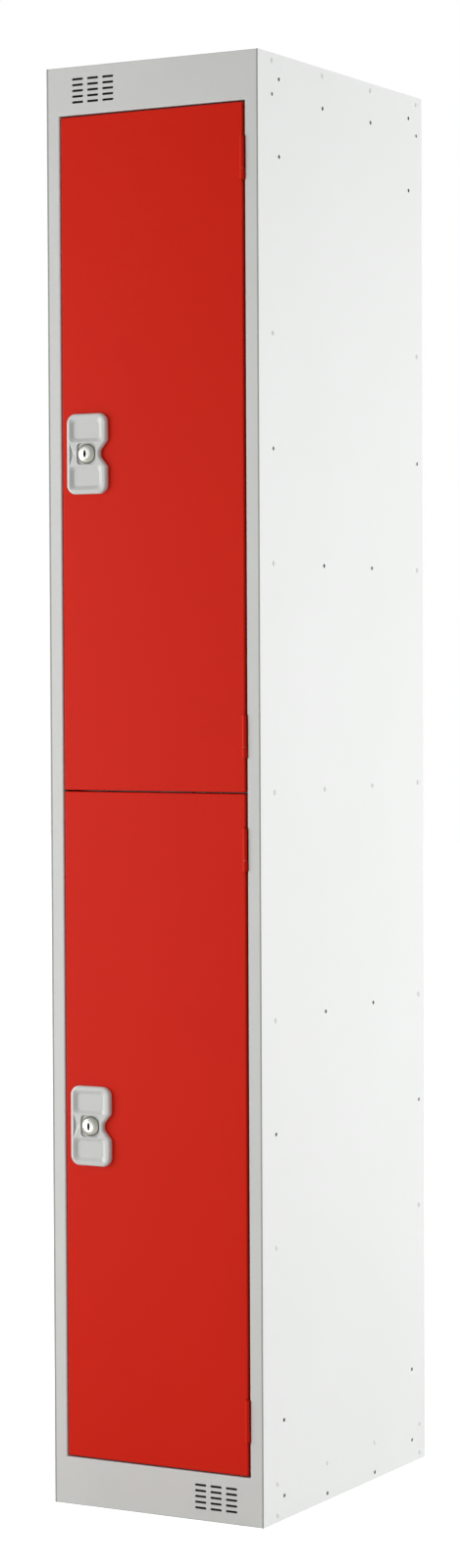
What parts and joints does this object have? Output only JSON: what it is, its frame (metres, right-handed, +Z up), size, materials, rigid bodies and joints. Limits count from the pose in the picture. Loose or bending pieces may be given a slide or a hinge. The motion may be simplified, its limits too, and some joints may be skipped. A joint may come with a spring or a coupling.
{
  "type": "metal locker",
  "caption": "Tall narrow steel clothes locker with red hinged doors one above the other, a light grey frame, cam locks, coat hooks and nesting holes in its sides.",
  "frame": {"origin": "floor level, at the middle of the carcass in width and depth", "axes": "+Z up, +X to the right seen from the front, +Y from the front to the back"},
  "size_m": [0.3026, 0.4592, 1.8001],
  "materials": {
    "carcass_paint": "satin",
    "frame_paint": "satin",
    "door_paint": "satin",
    "lock_plate_casting": "satin",
    "lock_chrome": "polished",
    "zinc_steel": "satin",
    "buffer_rubber": "matte"
  },
  "bodies": {
    "carcass": {"back_panel": "carcass_paint", "base_panel": "carcass_paint", "header_rail": "frame_paint", "left_side_panel": "carcass_paint", "left_side_rivets": "carcass_paint", "left_upright": "frame_paint", "lower_coat_hook": "zinc_steel", "lower_door_bottom_hinge_frame_leaf": "door_paint", "lower_door_bottom_hinge_pin": "zinc_steel", "lower_door_buffers": "buffer_rubber", "lower_door_top_hinge_frame_leaf": "door_paint", "lower_door_top_hinge_pin": "zinc_steel", "lower_hook_rivets": "zinc_steel", "middle_shelf": "carcass_paint", "plinth_rail": "frame_paint", "right_side_panel": "carcass_paint", "right_side_rivets": "carcass_paint", "right_upright": "frame_paint", "top_panel": "carcass_paint", "upper_coat_hook": "zinc_steel", "upper_door_bottom_hinge_frame_leaf": "door_paint", "upper_door_bottom_hinge_pin": "zinc_steel", "upper_door_buffers": "buffer_rubber", "upper_door_top_hinge_frame_leaf": "door_paint", "upper_door_top_hinge_pin": "zinc_steel", "upper_hook_rivets": "zinc_steel"},
    "upper_door": {"upper_door_bottom_hinge_door_leaf": "door_paint", "upper_door_lock_body": "lock_chrome", "upper_door_lock_nut": "zinc_steel", "upper_door_lock_plate": "lock_plate_casting", "upper_door_pan": "door_paint", "upper_door_stiffener": "door_paint", "upper_door_top_hinge_door_leaf": "door_paint"},
    "lower_door": {"lower_door_bottom_hinge_door_leaf": "door_paint", "lower_door_lock_body": "lock_chrome", "lower_door_lock_nut": "zinc_steel", "lower_door_lock_plate": "lock_plate_casting", "lower_door_pan": "door_paint", "lower_door_stiffener": "door_paint", "lower_door_top_hinge_door_leaf": "door_paint"},
    "upper_lock": {"upper_door_lock_cam": "zinc_steel", "upper_door_lock_cam_nut": "zinc_steel", "upper_door_lock_plug": "lock_chrome"},
    "lower_lock": {"lower_door_lock_cam": "zinc_steel", "lower_door_lock_cam_nut": "zinc_steel", "lower_door_lock_plug": "lock_chrome"}
  },
  "joints": [
    {"name": "upper_door_hinge", "type": "hinge", "parent": "carcass", "child": "upper_door", "pos_m": [0.1281, -0.2256, 1.3195], "axis": [0, 0, 1], "range_deg": [0, 175]},
    {"name": "lower_door_hinge", "type": "hinge", "parent": "carcass", "child": "lower_door", "pos_m": [0.1281, -0.2256, 0.4805], "axis": [0, 0, 1], "range_deg": [0, 175]},
    {"name": "upper_lock_turn", "type": "hinge", "parent": "upper_door", "child": "upper_lock", "pos_m": [-0.09225, -0.225, 1.3195], "axis": [0, 1, 0], "range_deg": [0, 90]},
    {"name": "lower_lock_turn", "type": "hinge", "parent": "lower_door", "child": "lower_lock", "pos_m": [-0.09225, -0.225, 0.4805], "axis": [0, 1, 0], "range_deg": [0, 90]}
  ]
}
